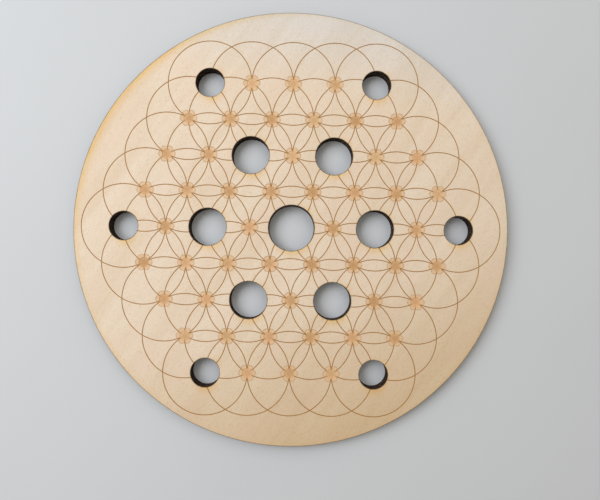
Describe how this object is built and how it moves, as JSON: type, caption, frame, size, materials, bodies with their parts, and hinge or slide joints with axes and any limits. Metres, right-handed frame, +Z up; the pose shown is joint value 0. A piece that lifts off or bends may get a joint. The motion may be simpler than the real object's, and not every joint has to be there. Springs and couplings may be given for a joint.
{
  "type": "crystal grid board",
  "caption": "Round laser-cut plywood grid board: a flat disc pierced by round stone seats on a hexagonal lattice, engraved with overlapping circles.",
  "frame": {"origin": "centre of the disc on its underside, where it rests on a table", "axes": "+Z up out of the engraved face, the disc's thickness; +X through a row of stone seats; +Y across that row"},
  "size_m": [0.2032, 0.2032, 0.006],
  "materials": {
    "face_wood": "pale sanded birch, engraved by laser, unvarnished",
    "inner_wood": "raw inner plies, charred where the laser cut them",
    "glue_resin": "cured dark resin film, charred at its edges"
  },
  "bodies": {
    "root": {"back_veneer": "face_wood", "back_glue_film": "glue_resin", "lower_crossband": "inner_wood", "lower_core_glue_film": "glue_resin", "core_veneer": "inner_wood", "upper_core_glue_film": "glue_resin", "upper_crossband": "inner_wood", "face_glue_film": "glue_resin", "face_veneer": "face_wood"}
  },
  "joints": []
}
